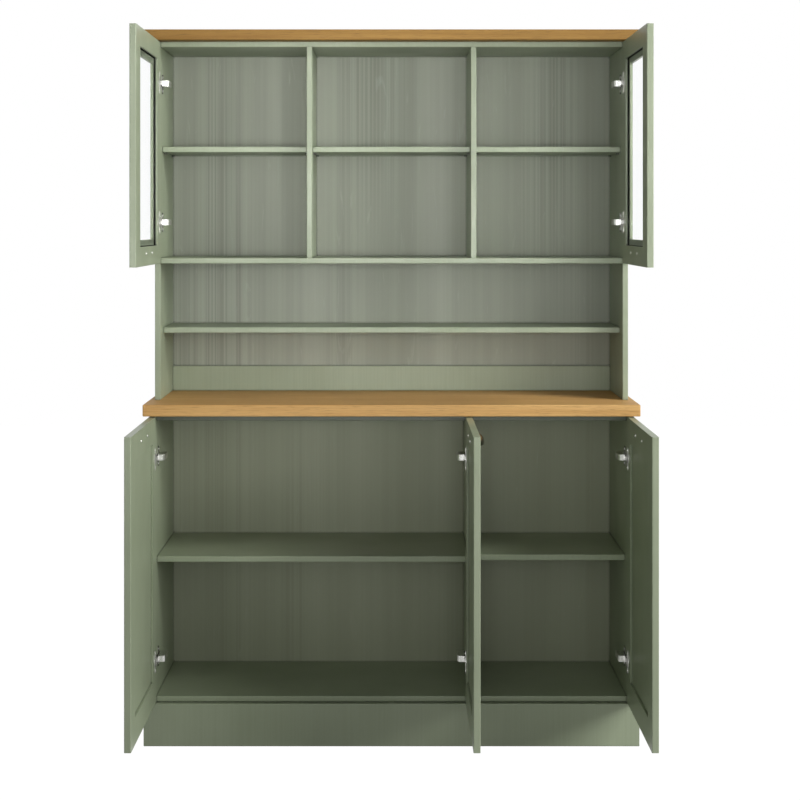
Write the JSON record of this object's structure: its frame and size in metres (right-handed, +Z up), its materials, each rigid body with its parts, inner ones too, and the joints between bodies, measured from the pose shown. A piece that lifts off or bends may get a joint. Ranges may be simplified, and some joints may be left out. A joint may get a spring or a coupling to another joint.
{
  "type": "highboard",
  "caption": "Two-part dresser cabinet: panelled cupboard base on a plinth with oak worktop, and a shallower shelved upper unit with glazed side doors and an oak top",
  "frame": {"origin": "On the floor, at the middle of the width and of the worktop's depth", "axes": "+Z up, +X to the right as seen from the front, -Y towards the viewer"},
  "size_m": [1.42, 0.841, 2.031],
  "materials": {
    "paint": "satin paint on fibreboard",
    "back_sheet": "thin painted sheet",
    "oak": "oiled oak",
    "nickel": "bright nickel plating",
    "pewter": "dark pewter",
    "glass": "clear",
    "seal": "matt black"
  },
  "bodies": {
    "cabinet": {"plinth_front": "paint", "plinth_side_left": "paint", "plinth_side_right": "paint", "plinth_rear": "paint", "plinth_bearer_left": "paint", "plinth_bearer_middle": "paint", "plinth_bearer_right": "paint", "base_side_left": "paint", "base_side_right": "paint", "base_partition": "paint", "base_bottom": "paint", "base_top_rail_front": "paint", "base_top_rail_rear": "paint", "base_shelf_wide": "paint", "base_shelf_narrow": "paint", "base_back_left": "back_sheet", "base_back_middle": "back_sheet", "base_back_right": "back_sheet", "worktop": "oak", "upper_side_left": "paint", "upper_side_right": "paint", "upper_top": "paint", "upper_bottom": "paint", "upper_divider_left": "paint", "upper_divider_right": "paint", "upper_shelf_left": "paint", "upper_shelf_middle": "paint", "upper_shelf_right": "paint", "open_shelf": "paint", "upper_back": "back_sheet", "upper_rear_rail": "paint", "top_board": "oak", "shelf_pins": "nickel", "hinge_plates": "nickel", "hinge_arms": "nickel"},
    "base_left_door": {"base_left_frame": "paint", "base_left_panel": "paint", "base_left_hinge_cups": "nickel", "base_left_pull": "pewter"},
    "base_middle_door": {"base_middle_frame": "paint", "base_middle_panel": "paint", "base_middle_hinge_cups": "nickel", "base_middle_pull": "pewter"},
    "base_right_door": {"base_right_frame": "paint", "base_right_panel": "paint", "base_right_hinge_cups": "nickel", "base_right_pull": "pewter"},
    "upper_left_door": {"upper_left_frame": "paint", "upper_left_glass": "glass", "upper_left_seal": "seal", "upper_left_hinge_cups": "nickel", "upper_left_pull": "pewter"},
    "upper_right_door": {"upper_right_frame": "paint", "upper_right_glass": "glass", "upper_right_seal": "seal", "upper_right_hinge_cups": "nickel", "upper_right_pull": "pewter"}
  },
  "joints": [
    {"name": "base_left_door_hinge", "type": "hinge", "parent": "cabinet", "child": "base_left_door", "pos_m": [-0.6745, -0.184, 0.5265], "axis": [0, 0, 1], "range_deg": [-5, 90]},
    {"name": "base_middle_door_hinge", "type": "hinge", "parent": "cabinet", "child": "base_middle_door", "pos_m": [0.2185, -0.184, 0.5265], "axis": [0, 0, -1], "range_deg": [-3, 90]},
    {"name": "base_right_door_hinge", "type": "hinge", "parent": "cabinet", "child": "base_right_door", "pos_m": [0.6745, -0.184, 0.5265], "axis": [0, 0, -1], "range_deg": [-5, 90]},
    {"name": "upper_left_door_hinge", "type": "hinge", "parent": "cabinet", "child": "upper_left_door", "pos_m": [-0.6745, -0.099, 1.6795], "axis": [0, 0, 1], "range_deg": [-5, 90]},
    {"name": "upper_right_door_hinge", "type": "hinge", "parent": "cabinet", "child": "upper_right_door", "pos_m": [0.6745, -0.099, 1.6795], "axis": [0, 0, -1], "range_deg": [-5, 90]}
  ]
}
